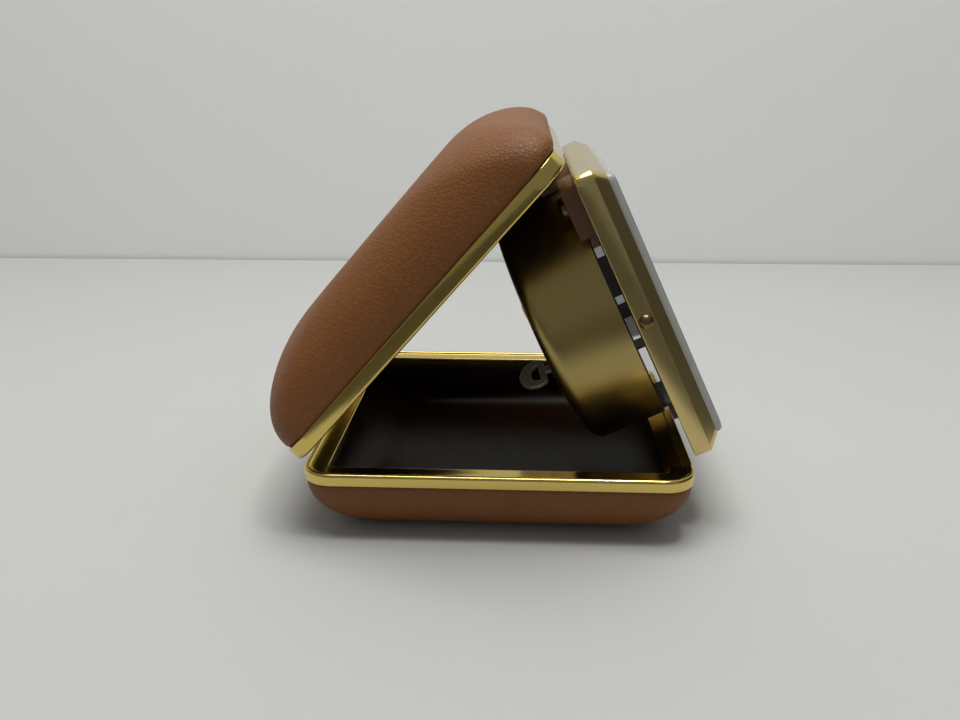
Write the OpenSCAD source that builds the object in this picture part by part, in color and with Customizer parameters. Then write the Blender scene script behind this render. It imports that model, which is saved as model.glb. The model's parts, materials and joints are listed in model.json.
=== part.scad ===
// Folding travel alarm clock: a leather-covered case in two shells, with the
// clock hung from the lid. Origin: middle of the base's flat underside, +Z up,
// dial towards -Y, case hinge at +Y. Millimetres.

/* [Case] */
// Width of the closed case, left to right
case_w = 75; // [72:0.5:92]
// Length of the closed case, hinge to front
case_l = 75; // [72:0.5:92]
// Corner radius of the two rims
corner_r = 6; // [4:0.25:9]
// Width of each rim's shelf
rim_w = 4.8; // [3.6:0.1:5.6]
// Height of the base rim's band
base_band_h = 2.4; // [2:0.1:4]
// Height of the base's leather shell
base_shell_h = 11.7; // [11:0.1:16]
// How far in from the edge the base's shell keeps curving
base_curve = 11.5; // [9:0.1:14]
// Height of the lid rim's band
lid_band_h = 3; // [2.6:0.1:4]
// Height of the lid's leather shell above its band
lid_shell_h = 14.4; // [14:0.1:20]
// How far in from the edge the lid's shell keeps curving
lid_curve = 15.2; // [12:0.1:18]
// Thickness of the leather
leather_t = 1; // [0.6:0.05:1.2]
// Thickness of the steel pans
pan_t = 0.5; // [0.3:0.05:0.8]
// Thickness of the linings
lining_t = 0.4; // [0.2:0.05:0.8]
// Thickness of the rims' brass strip
brass_t = 0.5; // [0.3:0.05:0.7]
// Step from a rim's plane down to its shelf
shelf_drop = 0.5; // [0.3:0.05:0.8]
// Depth of the turned-in lip inside a rim
lip_h = 2.5; // [1.5:0.1:3]

/* [Case hinge] */
// Diameter of the case hinge's pin
case_pin_d = 1; // [0.8:0.05:1.2]
// Outer diameter of its knuckles
case_knuckle_d = 2.2; // [2:0.05:2.4]
// Distance from the rims' back faces to the hinge axis
case_pin_back = 1.3; // [1.3:0.05:2]

/* [Clock hinge] */
// Diameter of the clock hinge's pin
clock_pin_d = 0.8; // [0.6:0.05:0.9]
// Outer diameter of its knuckles
clock_knuckle_d = 1.8; // [1.6:0.05:2]
// Pin axis behind the clock frame's back
clock_pin_back = 4.7; // [4.4:0.1:6]
// Pin axis above the clock frame's top edge
clock_pin_up = 1.4; // [1.2:0.1:3]
// Pin axis inside the lid, measured from its rim plane
clock_pin_deep = 0.2; // [0:0.05:0.3]
// Half width of the bracket that hangs the clock
bracket_half_w = 11; // [8:0.5:14]
// How far the bracket's arm runs behind the frame
bracket_arm = 7; // [6.4:0.1:8]
// Length of the bracket's leg down the frame's back
bracket_leg = 11.8; // [8:0.1:13]

/* [Clock frame] */
// Side of the square frame
frame_size = 59; // [56:0.5:60]
// Corner radius of the frame
frame_corner_r = 2; // [1:0.25:4]
// Height of the frame's side band
frame_band_h = 3.5; // [3:0.1:4]
// Rise of the bezel in front of the band
bezel_rise = 2.2; // [1.6:0.1:2.4]
// Width of the bezel's slope
bezel_slope = 2; // [1.6:0.1:2.5]
// How far the crystal stands in front of the bezel
crystal_rise = 1.4; // [0.8:0.1:1.5]
// Thickness of the frame's sheet
frame_t = 0.6; // [0.4:0.05:0.8]
// Diameter of the two latch studs
stud_d = 2.84; // [2:0.1:3.4]

/* [Drum] */
// Outer radius of the drum
drum_r = 28; // [27.5:0.1:28.5]
// Distance from the frame's back to the drum's back
drum_back = 18.4; // [18:0.1:18.6]
// Radius of the drum's back edge
drum_edge_r = 3; // [1.5:0.25:4]
// Gap between the frame and the drum, filled by the chrome ring
ring_gap = 2; // [1.5:0.1:2.2]
// Thickness of the drum's wall
drum_t = 0.6; // [0.4:0.05:0.8]

/* [Keys] */
// Sideways distance of each winding key from the middle
key_x = 11; // [10.9:0.05:11.2]
// Distance of the winding keys below the middle
key_down = 7; // [6.9:0.05:7.2]
// Radius of a winding key's stem
key_stem_r = 1.3; // [1.1:0.05:1.5]
// Length of a winding key's wing
wing_l = 8; // [7:0.25:10]
// Width of a winding key's wing
wing_w = 7; // [6:0.25:10]
// Thickness of a wing
wing_t = 0.9; // [0.6:0.05:1]
// How far the time key's wing is raised from flat
time_wing_raise = 90; // [10:5:90]
// How far the alarm key's wing is raised from flat
alarm_wing_raise = 30; // [10:5:80]
// How far the time key is turned from level
time_key_angle = 62; // [0:1:90]

/* [Fits] */
// Radial play of pins and arbors in their bores
running = 0.04; // [0.02:0.01:0.08]
// Gap between pieces that turn past each other
free_gap = 0.3; // [0.2:0.05:0.4]

/* [Hidden] */
$fn = 48;
eps = 0.01;

// ---- case, derived ----
half_w = case_w / 2;
half_l = case_l / 2;
half_f = frame_size / 2;
seam = 0.25;
part_z = base_shell_h + base_band_h;
hinge_y = half_l + max(case_pin_back, case_knuckle_d / 2 + 0.15);
wall_t = leather_t + pan_t + lining_t;
shelf_t = brass_t;
corner_steps = 5;
case_knuckles = [[-20, -12], [-4, 4], [12, 20]];
lid_knuckles = [[-12 + free_gap, -4 - free_gap], [4 + free_gap, 12 - free_gap]];
strip_t = 0.4;
strip_near = 1.5;
strip_far = 2.3;

// ---- how the clock stands: triangle of case hinge, clock hinge and foot ----
foot_out = 0.7;
foot_up = 0.84;
clock_pin_inset = rim_w + 0.6;
pin_y = -half_l + clock_pin_inset;
pin_run = hinge_y - pin_y;
foot_y = -half_l - foot_out;
foot_run = hinge_y - foot_y;
pin_to_foot = norm([frame_size + clock_pin_up, clock_pin_back]);
pin_reach = norm([pin_run, clock_pin_deep]);
foot_reach = norm([foot_run, foot_up]);
apex = acos((pow(pin_reach, 2) + pow(foot_reach, 2) - pow(pin_to_foot, 2)) / (2 * pin_reach * foot_reach));
lid_angle = atan2(foot_up, foot_run) + apex - atan2(clock_pin_deep, pin_run);
pin_dir = lid_angle + atan2(clock_pin_deep, pin_run);
hang_y = hinge_y - pin_reach * cos(pin_dir);
hang_z = part_z + pin_reach * sin(pin_dir);
drop_dir = atan2(hang_y - foot_y, hang_z - part_z - foot_up);
lean = drop_dir - atan2(clock_pin_back, frame_size + clock_pin_up);
fold_angle = 90 + lean - lid_angle;
swing_r = norm([frame_size + clock_pin_up, clock_pin_back + frame_band_h]) + 0.2;

echo(lid_angle = lid_angle, lean = lean, fold_angle = fold_angle);
echo(case_hinge = [0, hinge_y, part_z], clock_hinge = [0, hang_y, hang_z]);

// ---- clock, derived ----
bezel_y = -frame_band_h - bezel_rise;
crystal_y = bezel_y - crystal_rise;
window_half = half_f - bezel_slope - 0.3;
dial_y = -2.4;
dial_t = 0.4;
hand_t = 0.2;
bracket_top = half_f - 0.2;
bracket_t = 0.9;
pad_t = 1.1;
pad_h = 5;
pad_low = 1.2;
knuckle_half = 5.2;
outer_knuckle_w = 3.2;
notch_half = bracket_half_w + free_gap + outer_knuckle_w + free_gap;
notch_inset = clock_pin_inset - clock_knuckle_d / 2 - 0.38;

// ---- movement, derived: y is measured backwards from the frame's back ----
plate1_y = ring_gap + 0.4;
plate_t = 1;
plate2_y = 12;
plate_r = 25.8;
inner_r = drum_r - drum_t;
drum_in_y = drum_back - drum_t;
pillar_angles = [5, 50, 165, 270];
pillar_ring_r = 22.5;
pillar_r = 1.3;
key_pos = [-key_x, -key_down];
alarm_key_pos = [key_x, -key_down];
wing_hub_r = 0.7;
wing_pivot_y = drum_back + 0.65;
key_pin_r = 0.35;
wing_neck_l = 2.2;
wing_neck_w = 1.8;
clevis_r = 2;
slot_half = 1.1;
apron_t = 0.5;
barrel_n = 48;
centre_pinion_n = 8;
barrel_pitch_r = norm(key_pos) * barrel_n / (barrel_n + centre_pinion_n);
centre_pinion_r = norm(key_pos) - barrel_pitch_r;
alarm_barrel_r = key_x * 2 - barrel_pitch_r - 1.6;
third_pos = polar(9.18, 64);
fourth_pos = third_pos + polar(7.65, 165);
escape_pos = fourth_pos + polar(6.72, 130);
pallet_pos = escape_pos + polar(4.7, 20);
balance_pos = pallet_pos + polar(7.2, 20);
setting_pos = [-15.5, 7.6];
alarm_setting_pos = [15.5, 7.6];
minute_wheel_pos = setting_pos / 2;
hammer_pos = [-3, -19];
lever_pos = [-2, 19];
regulator_pos = [12, 17];
click_pos = [for (p = [key_pos, alarm_key_pos]) p + polar(5.6, 240)];

function polar(r, a) = [r * cos(a), r * sin(a)];
function heading(a, b) = atan2(b[1] - a[1], b[0] - a[0]);

// One rounded rectangle at height z: half sizes, corner radius.
function ring_points(hx, hy, r, z) =
  let (q = min(r, hx - 0.4, hy - 0.4))
  [for (k = [0:3]) for (i = [0:corner_steps])
    let (a = 90 * k + 90 * i / corner_steps)
    let (sx = (k == 0 || k == 3) ? 1 : -1)
    let (sy = k < 2 ? 1 : -1)
    [sx * (hx - q) + q * cos(a), sy * (hy - q) + q * sin(a), z]];

// Loops of a pillow from its edge (height 0) to its crown, set in by w.
function pillow(w, curve, rise, grow, steps = 8) =
  [for (i = [0:steps])
    let (f = 90 * i / steps)
    let (ins = seam + w + (curve - seam - w) * (1 - cos(f)))
    ring_points(half_w - ins, half_l - ins, corner_r - 0.5 * w + grow * ins, (rise - w) * sin(f))];

function reversed(v) = [for (i = [len(v) - 1:-1:0]) v[i]];
function lifted(v, dz) = [for (p = v) [p[0], p[1], p[2] + dz]];

// Solid through a stack of loops, closed by a flat face at each end.
module loft(loops) {
  n = len(loops[0]);
  m = len(loops);
  sides = [for (j = [0:m - 2]) for (i = [0:n - 1])
    [j * n + i, j * n + (i + 1) % n, (j + 1) * n + (i + 1) % n, (j + 1) * n + i]];
  first = [for (i = [n - 1:-1:0]) i];
  last = [for (i = [0:n - 1]) (m - 1) * n + i];
  polyhedron([for (l = loops) each l], concat(sides, [first, last]), convexity = 6);
}

// Solid through loops that come back to the first one.
module loft_ring(loops) {
  n = len(loops[0]);
  m = len(loops);
  sides = [for (j = [0:m - 1]) for (i = [0:n - 1])
    [j * n + i, j * n + (i + 1) % n, ((j + 1) % m) * n + (i + 1) % n, ((j + 1) % m) * n + i]];
  polyhedron([for (l = loops) each l], sides, convexity = 6);
}

// A dished layer between two insets; its edge stands up by band.
module dish(w0, w1, curve, rise, grow, band) {
  outer = pillow(w0, curve, rise, grow);
  inner = pillow(w1, curve, rise, grow);
  edge_out = band > 0 ? [lifted(outer[0], -band)] : [];
  edge_in = band > 0 ? [lifted(inner[0], -band)] : [];
  loft(concat(reversed(outer), edge_out, edge_in, inner));
}

module base_dish(w0, w1, band = 0) {
  translate([0, 0, base_shell_h])
    mirror([0, 0, 1])
      dish(w0, w1, base_curve, base_shell_h, 0.3, band);
}

module lid_dish(w0, w1, band = 0) {
  translate([0, 0, part_z + lid_band_h])
    dish(w0, w1, lid_curve, lid_shell_h, 1.15, band);
}

module rounded_square(hx, hy, r) {
  square([2 * hx - 2 * r, 2 * hy], center = true);
  square([2 * hx, 2 * hy - 2 * r], center = true);
  for (sx = [-1, 1])
    for (sy = [-1, 1])
      translate([sx * (hx - r), sy * (hy - r)])
        circle(r);
}

module case_outline(inset) {
  rounded_square(half_w - inset, half_l - inset, max(corner_r - inset, 1));
}

module case_ring(inset0, inset1, z0, z1) {
  translate([0, 0, z0])
    linear_extrude(z1 - z0)
      difference() {
        case_outline(inset0);
        case_outline(inset1);
      }
}

// Brass rim standing on the parting plane, its band going up.
module rim(band_h) {
  case_ring(0, brass_t, 0, band_h);
  case_ring(brass_t - eps, rim_w, shelf_drop, shelf_drop + shelf_t);
  case_ring(rim_w - brass_t, rim_w, shelf_drop, shelf_drop + shelf_t + lip_h);
}

// Children drawn on the closed lid, carried to the open lid.
module on_lid() {
  translate([0, hinge_y, part_z])
    rotate([-lid_angle, 0, 0])
      translate([0, -hinge_y, -part_z])
        children();
}

// Children drawn in the clock's own frame: x right, y back, z up the dial.
module on_clock() {
  translate([0, foot_y + half_f * sin(lean), part_z + foot_up + half_f * cos(lean)])
    rotate([-lean, 0, 0])
      children();
}

// A flat shape in the dial's plane, from depth y0 back to y1.
module slab(p, y0, y1) {
  translate([p[0], y1, p[1]])
    rotate([90, 0, 0])
      linear_extrude(y1 - y0)
        children();
}

module rod(p, r, y0, y1) {
  slab(p, y0, y1)
    circle(r);
}

module rod_x(y, z, r, x0, x1) {
  translate([x0, y, z])
    rotate([0, 90, 0])
      cylinder(h = x1 - x0, r = r);
}

// Thin-toothed gear; a tooth is centred on the phase angle.
module gear_shape(n, pitch_r, phase) {
  m = 2 * pitch_r / n;
  tip = pitch_r + 0.55 * m;
  root = pitch_r - 0.75 * m;
  step = 360 / n;
  polygon([for (i = [0:n - 1]) each [
    polar(root, phase + i * step - 0.24 * step),
    polar(tip, phase + i * step - 0.09 * step),
    polar(tip, phase + i * step + 0.09 * step),
    polar(root, phase + i * step + 0.24 * step)]]);
}

module spoked(r0, r1, spokes) {
  difference() {
    circle(r1);
    difference() {
      circle(r1 - 0.7);
      circle(r0);
      for (i = [0:spokes - 1])
        rotate(360 * i / spokes)
          translate([0, -0.3])
            square([r1, 0.6]);
    }
  }
}

// Wheel with its rim cut through between spokes.
module wheel(p, n, pitch_r, phase, y0, y1, hub = 1.5, spokes = 4) {
  slab(p, y0, y1)
    difference() {
      gear_shape(n, pitch_r, phase);
      difference() {
        circle(pitch_r * 0.82);
        circle(hub);
        for (i = [0:spokes - 1])
          rotate(360 * i / spokes + 20)
            translate([0, -0.35])
              square([pitch_r, 0.7]);
      }
    }
}

// ---- base ----
module base_leather() {
  color("saddlebrown")
    base_dish(0, leather_t);
}

module base_pan() {
  color("dimgray")
    base_dish(leather_t, leather_t + pan_t, base_band_h - shelf_drop - shelf_t);
}

// The path of the frame's lower edge as the clock folds in.
module swing_space(r = swing_r, side = 0) {
  rod_x(hang_y, hang_z, r, -half_f - free_gap - side, half_f + free_gap + side);
}

module base_lining() {
  color([0.16, 0.09, 0.06])
    difference() {
      base_dish(leather_t + pan_t, wall_t, base_band_h - shelf_drop - shelf_t);
      swing_space(swing_r + apron_t + 0.05, 0.35);
    }
}

// Rim with its front shelf bent down out of the clock's path.
module base_rim() {
  apron_in = seam + wall_t;
  color("goldenrod")
    difference() {
      union() {
        translate([0, 0, part_z])
          mirror([0, 0, 1])
            rim(base_band_h);
        intersection() {
          swing_space(swing_r + apron_t, 0.3);
          translate([-half_w, -half_l + apron_in, 0])
            cube([2 * half_w, rim_w - brass_t / 2 - apron_in, part_z - shelf_drop - shelf_t / 2]);
        }
      }
      swing_space();
    }
}

module knuckle_row(y, z, spans, r) {
  for (s = spans)
    rod_x(y, z, r, s[0], s[1]);
}

// Hinge leaf on a rim's back face, going up from the axis.
module case_leaf(spans) {
  difference() {
    union() {
      translate([spans[0][0], half_l, strip_near])
        cube([spans[len(spans) - 1][1] - spans[0][0], strip_t, strip_far - strip_near]);
      for (s = spans)
        translate([s[0], half_l, 0])
          cube([s[1] - s[0], strip_t, strip_far]);
      knuckle_row(hinge_y, 0, spans, case_knuckle_d / 2);
    }
    rod_x(hinge_y, 0, case_pin_d / 2 + running, -half_w, half_w);
  }
}

module base_hinge_leaf() {
  color("goldenrod")
    translate([0, 0, part_z])
      mirror([0, 0, 1])
        case_leaf(case_knuckles);
}

module case_hinge_pin() {
  color("silver")
    rod_x(hinge_y, part_z, case_pin_d / 2, case_knuckles[0][0], case_knuckles[2][1]);
}

// ---- lid ----
module lid_leather() {
  color("saddlebrown")
    on_lid()
      lid_dish(0, leather_t);
}

module lid_pan() {
  color("dimgray")
    on_lid()
      lid_dish(leather_t, leather_t + pan_t, lid_band_h - shelf_drop - shelf_t);
}

module lid_lining() {
  color([0.16, 0.09, 0.06])
    on_lid()
      lid_dish(leather_t + pan_t, wall_t, lid_band_h - shelf_drop - shelf_t);
}

module lid_rim() {
  color("goldenrod")
    on_lid()
      difference() {
        translate([0, 0, part_z])
          rim(lid_band_h);
        translate([-notch_half, -half_l + notch_inset, part_z])
          cube([2 * notch_half, rim_w, shelf_drop + shelf_t + lip_h + 1]);
      }
}

module lid_hinge_leaf() {
  color("goldenrod")
    on_lid()
      translate([0, 0, part_z])
        case_leaf(lid_knuckles);
}

lid_clock_spans = [
  [-bracket_half_w - free_gap - outer_knuckle_w, -bracket_half_w - free_gap],
  [-knuckle_half + free_gap, knuckle_half - free_gap],
  [bracket_half_w + free_gap, bracket_half_w + free_gap + outer_knuckle_w]];

// Leaf fixed behind the lid rim's front shelf, with the outer knuckles.
module clock_hinge_leaf() {
  leaf_z = shelf_drop + shelf_t;
  leaf_in = seam + wall_t + 0.15;
  color("goldenrod")
    on_lid()
      translate([0, -half_l, part_z])
        difference() {
          union() {
            translate([-notch_half + 0.2, leaf_in, leaf_z])
              cube([2 * notch_half - 0.4, notch_inset - leaf_in - 0.1, strip_t]);
            for (s = lid_clock_spans)
              translate([s[0], notch_inset - 0.6, leaf_z])
                cube([s[1] - s[0], clock_pin_inset - notch_inset + 0.6, strip_t]);
            for (s = lid_clock_spans)
              translate([s[0], clock_pin_inset - 0.6, clock_pin_deep])
                cube([s[1] - s[0], 0.6, leaf_z + strip_t - clock_pin_deep]);
            knuckle_row(clock_pin_inset, clock_pin_deep, lid_clock_spans, clock_knuckle_d / 2);
          }
          rod_x(clock_pin_inset, clock_pin_deep, clock_pin_d / 2 + running, -half_w, half_w);
        }
}

module clock_hinge_pin() {
  color("silver")
    on_lid()
      translate([0, -half_l, part_z])
        rod_x(clock_pin_inset, clock_pin_deep, clock_pin_d / 2, lid_clock_spans[0][0], lid_clock_spans[2][1]);
}

// ---- clock frame ----
// One loop of the frame at half size h and depth y.
function frame_loop(h, y, r = frame_corner_r) =
  [for (p = ring_points(h, h, r, 0)) [p[0], y, p[1]]];

module bezel_frame() {
  lip = half_f - window_half;
  color("gold")
    on_clock()
      loft_ring([
        frame_loop(half_f, 0),
        frame_loop(half_f, -frame_band_h),
        frame_loop(half_f - 0.25, -frame_band_h - 0.25),
        frame_loop(half_f - bezel_slope, bezel_y),
        frame_loop(window_half, bezel_y, frame_corner_r - 0.6),
        frame_loop(window_half, bezel_y + 1.1, frame_corner_r - 0.6),
        frame_loop(window_half - 0.6, bezel_y + 1.1, frame_corner_r - 0.9),
        frame_loop(window_half - 0.6, bezel_y + 1.6, frame_corner_r - 0.9),
        frame_loop(half_f - frame_t, -frame_band_h + 0.4, frame_corner_r - frame_t),
        frame_loop(half_f - frame_t, 0, frame_corner_r - frame_t)]);
}

module crystal() {
  c = window_half - 0.05;
  color([0.85, 0.9, 0.95, 0.4])
    on_clock()
      loft([
        frame_loop(c, bezel_y + 1.1, frame_corner_r - 0.6),
        frame_loop(c, bezel_y - 0.3, frame_corner_r - 0.6),
        frame_loop(c - 1.1, crystal_y, frame_corner_r - 0.8)]);
}

module dial() {
  color("ivory")
    on_clock()
      slab([0, 0], dial_y, dial_y + dial_t)
        difference() {
          rounded_square(half_f - frame_t - 0.05, half_f - frame_t - 0.05, frame_corner_r - frame_t);
          circle(2.2);
        }
}

// Twelve raised batons, longer at 12, 3, 6 and 9.
module hour_markers() {
  color("goldenrod")
    on_clock()
      for (i = [0:11])
        slab([0, 0], dial_y - 0.15, dial_y)
          rotate(30 * i)
            translate([0, 20.5])
              square([i % 3 == 0 ? 1.2 : 0.7, i % 3 == 0 ? 3.2 : 2.2], center = true);
}

module frame_back_plate() {
  color("goldenrod")
    on_clock()
      slab([0, 0], -0.8, 0)
        difference() {
          rounded_square(half_f - frame_t, half_f - frame_t, frame_corner_r - frame_t);
          circle(24.5);
        }
}

// Chrome ring: fills the gap, and its spigot centres the drum.
module chrome_ring() {
  color("silver")
    on_clock()
      difference() {
        union() {
          rod([0, 0], drum_r - 0.7, 0, ring_gap);
          rod([0, 0], inner_r - 0.05, ring_gap - eps, plate1_y + plate_t + 0.6);
        }
        rod([0, 0], 24.5, -1, plate1_y);
        rod([0, 0], plate_r + 0.05, plate1_y, plate1_y + plate_t + 1);
        translate([-bracket_half_w - 0.1, -1, bracket_top - bracket_leg - 0.1])
          cube([2 * bracket_half_w + 0.2, 1 + bracket_t + 0.05, bracket_leg + 1]);
        translate([-bracket_half_w - 0.1, -1, -half_f])
          cube([2 * bracket_half_w + 0.2, 1 + pad_t + 0.05, pad_low + pad_h + 0.1]);
      }
}

module drum_section(r, back, edge) {
  translate([0, ring_gap])
    square([r, back - edge - ring_gap]);
  translate([0, ring_gap])
    square([r - edge, back - ring_gap]);
  translate([r - edge, back - edge])
    circle(edge);
}

module drum_case() {
  color("tan")
    on_clock()
      difference() {
        rotate([-90, 0, 0])
          rotate_extrude($fn = 96)
            difference() {
              drum_section(drum_r, drum_back, drum_edge_r);
              translate([0, -eps])
                drum_section(inner_r, drum_in_y, drum_edge_r - drum_t);
              translate([-drum_r, 0])
                square([drum_r, drum_back + 1]);
            }
        for (p = [key_pos, alarm_key_pos])
          rod(p, clevis_r + running, drum_in_y - 1, drum_back + 1);
        for (p = [setting_pos, alarm_setting_pos])
          rod(p, 0.7 + running, drum_in_y - 1, drum_back + 1);
        for (p = [lever_pos, regulator_pos])
          rod(p, 0.8 + running, drum_in_y - 1, drum_back + 1);
      }
}

// Brown bracket: leg on the frame's back, arm arched over the drum to the hinge.
module hinge_bracket() {
  pin_z = half_f + clock_pin_up;
  arm_r = drum_r + free_gap;
  tabs = [[-bracket_half_w, -knuckle_half], [knuckle_half, bracket_half_w]];
  color([0.32, 0.17, 0.1])
    on_clock()
      difference() {
        union() {
          intersection() {
            translate([-bracket_half_w, 0, bracket_top - bracket_leg])
              cube([2 * bracket_half_w, bracket_arm, bracket_leg]);
            rod([0, 0], arm_r + bracket_t, 0, bracket_arm);
          }
          for (s = tabs)
            translate([s[0], clock_pin_back - 0.5, bracket_top - bracket_leg])
              cube([s[1] - s[0], 1, pin_z - bracket_top + bracket_leg]);
          knuckle_row(clock_pin_back, pin_z, tabs, clock_knuckle_d / 2);
        }
        rod_x(clock_pin_back, pin_z, clock_pin_d / 2 + running, -half_w, half_w);
        rod([0, 0], arm_r, bracket_t, bracket_arm + 1);
      }
}

module bracket_screws() {
  color("gold")
    on_clock()
      for (s = [-1, 1])
        translate([s * (bracket_half_w + 9.5), 0, half_f - 5.5])
          rotate([-90, 0, 0]) {
            cylinder(h = 2.6, r = 1.2);
            translate([0, 0, 2.6 - eps])
              cylinder(h = 1.3, r = 2);
            translate([0, 0, 3.9 - 2 * eps])
              intersection() {
                cylinder(h = 1, r = 2);
                translate([0, 0, -1.9])
                  sphere(r = 2.9);
              }
          }
}

module rest_pad() {
  color([0.32, 0.17, 0.1])
    on_clock()
      translate([-bracket_half_w, 0, -half_f + pad_low])
        cube([2 * bracket_half_w, pad_t, pad_h]);
}

module latch_studs() {
  color("gold")
    on_clock()
      for (s = [-1, 1])
        translate([s * half_f, -frame_band_h / 2, 0])
          rotate([0, 90 * s, 0])
            intersection() {
              cylinder(h = 1, r = stud_d / 2);
              translate([0, 0, -0.75])
                sphere(r = 1.65);
            }
}

// ---- movement plates ----
module arbor_holes(points, r, y) {
  for (p = points)
    rod(p, r + running, y - 1, y + plate_t + 1);
}

module plate(y, r) {
  difference() {
    rod([0, 0], r, y, y + plate_t);
    arbor_holes([[0, 0]], 0.8, y);
    arbor_holes([setting_pos, alarm_setting_pos], 0.6, y);
    arbor_holes([third_pos, fourth_pos, escape_pos], 0.45, y);
    arbor_holes([pallet_pos, balance_pos], 0.35, y);
    arbor_holes([key_pos, alarm_key_pos], key_stem_r, y);
  }
}

module front_plate() {
  color("khaki")
    on_clock()
      plate(plate1_y, plate_r);
}

module back_plate() {
  color("khaki")
    on_clock()
      difference() {
        plate(plate2_y, plate_r - 0.6);
        arbor_holes([hammer_pos], 0.6, plate2_y);
      }
}

module plate_pillars() {
  color("darkgoldenrod")
    on_clock()
      for (a = pillar_angles)
        rod(polar(pillar_ring_r, a), pillar_r, plate1_y + plate_t, plate2_y);
}

module pillar_screws() {
  color("steelblue")
    on_clock()
      for (a = pillar_angles)
        rod(polar(pillar_ring_r, a), 1.1, plate2_y + plate_t, plate2_y + plate_t + 0.7);
}

// ---- hands and motion work ----
module centre_arbor() {
  color("gold")
    on_clock() {
      rod([0, 0], 0.8, -4.2, plate2_y + plate_t);
      slab([0, 0], 1.4, 2.2)
        gear_shape(12, norm(minute_wheel_pos) / 4, heading([0, 0], minute_wheel_pos));
      slab([0, 0], 3.7, 5.4)
        gear_shape(centre_pinion_n, centre_pinion_r, heading([0, 0], key_pos));
      wheel([0, 0], 48, 8.16, heading([0, 0], third_pos), 10, 10.6);
    }
}

module hand_outline(l, w, tail) {
  polygon([[-w / 2, -tail], [w / 2, -tail], [w / 2, l * 0.8], [0, l], [-w / 2, l * 0.8]]);
}

// A hand at a clock angle, with a boss bored for its pipe or arbor.
module hand(l, w, tail, angle, y, boss_r, bore_r) {
  slab([0, 0], y, y + hand_t)
    difference() {
      union() {
        rotate(-angle)
          hand_outline(l, w, tail);
        circle(boss_r);
      }
      circle(bore_r);
    }
}

module minute_hand() {
  color("black")
    on_clock()
      hand(19, 1.1, 4, 54, -4, 1.5, 0.8);
}

module hour_hand() {
  color("black")
    on_clock()
      hand(12.5, 1.5, 3, 304.5, -3.5, 1.9, 1.25);
}

module alarm_hand() {
  color("darkred")
    on_clock()
      hand(13, 0.6, 0, 210, -3, 2.4, 1.7);
}

module hour_wheel() {
  color("gold")
    on_clock()
      difference() {
        union() {
          slab([0, 0], 0.5, 1)
            gear_shape(48, norm(minute_wheel_pos) * 0.8, heading([0, 0], minute_wheel_pos));
          rod([0, 0], 1.25, -3.5, 0.7);
        }
        rod([0, 0], 0.8 + running, -5, 3);
      }
}

module minute_wheel() {
  color("gold")
    on_clock()
      difference() {
        union() {
          slab(minute_wheel_pos, 1.5, 2)
            gear_shape(36, norm(minute_wheel_pos) * 0.75, heading(minute_wheel_pos, [0, 0]) + 5);
          slab(minute_wheel_pos, 0.3, 1.6)
            gear_shape(12, norm(minute_wheel_pos) * 0.2, heading(minute_wheel_pos, [0, 0]) + 15);
        }
        rod(minute_wheel_pos, 0.5, 0, 3);
      }
}

module setting_arbor(p, y0, n, pitch_r, phase, gear_y) {
  rod(p, 0.6, y0, drum_in_y);
  rod(p, 0.7, drum_in_y - 0.2, drum_back + 0.2);
  slab(p, gear_y, gear_y + 0.9)
    gear_shape(n, pitch_r, phase);
}

module time_setting_arbor() {
  color("silver")
    on_clock()
      setting_arbor(setting_pos, 1.2, 12, norm(minute_wheel_pos) / 4,
        heading(setting_pos, minute_wheel_pos), 1.3);
}

module alarm_setting_arbor() {
  color("silver")
    on_clock()
      setting_arbor(alarm_setting_pos, -1.3, 12, norm(alarm_setting_pos) / 5,
        heading(alarm_setting_pos, [0, 0]), -1.2);
}

// Low knurled knob on the drum's back.
module setting_knob(p) {
  slab(p, drum_back + 0.2, drum_back + 0.9)
    difference() {
      circle(1.7);
      for (i = [0:17])
        rotate(20 * i)
          translate([1.8, 0])
            circle(0.22, $fn = 13);
    }
}

module time_knob() {
  color("gold")
    on_clock()
      setting_knob(setting_pos);
}

module alarm_knob() {
  color("gold")
    on_clock()
      setting_knob(alarm_setting_pos);
}

module alarm_wheel() {
  color("gold")
    on_clock()
      difference() {
        union() {
          slab([0, 0], -1, -0.6)
            difference() {
              gear_shape(48, norm(alarm_setting_pos) * 0.8, heading([0, 0], alarm_setting_pos) + 3.75);
              for (i = [0:3])
                rotate(90 * i + 45)
                  translate([7.2, 0])
                    circle(3.6);
            }
          rod([0, 0], 1.7, -3, -0.6);
        }
        rod([0, 0], 1.25 + running, -5, 3);
      }
}

// ---- barrels and keys ----
module barrel(p, r, teeth_n, phase) {
  difference() {
    union() {
      rod(p, r - 1.1, 4.1, 9.2);
      slab(p, 4.1, 4.9)
        gear_shape(teeth_n, r, phase);
    }
    rod(p, r - 1.7, 4.9, 8.8);
    rod(p, key_stem_r + running, 3, 10);
  }
}

module going_barrel() {
  color("gold")
    on_clock()
      barrel(key_pos, barrel_pitch_r, barrel_n, heading(key_pos, [0, 0]) + 180 / barrel_n);
}

module alarm_barrel() {
  color("gold")
    on_clock()
      barrel(alarm_key_pos, alarm_barrel_r, 40, 0);
}

// Flat spiral strip, wound from its arbor out to r1.
module spiral(p, r0, r1, turns, t, y0, y1) {
  n = 16 * turns;
  slab(p, y0, y1)
    polygon(concat(
      [for (i = [0:n]) polar(r0 + (r1 - r0) * i / n, 22.5 * i)],
      [for (i = [n:-1:0]) polar(r0 + t + (r1 - r0) * i / n, 22.5 * i)]));
}

module time_mainspring() {
  color("steelblue")
    on_clock()
      spiral(key_pos, key_stem_r + 0.25, barrel_pitch_r - 2.3, 7, 0.3, 5.1, 8.6);
}

module alarm_mainspring() {
  color("steelblue")
    on_clock()
      spiral(alarm_key_pos, key_stem_r + 0.25, alarm_barrel_r - 2.3, 6, 0.3, 5.1, 8.6);
}

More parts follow.
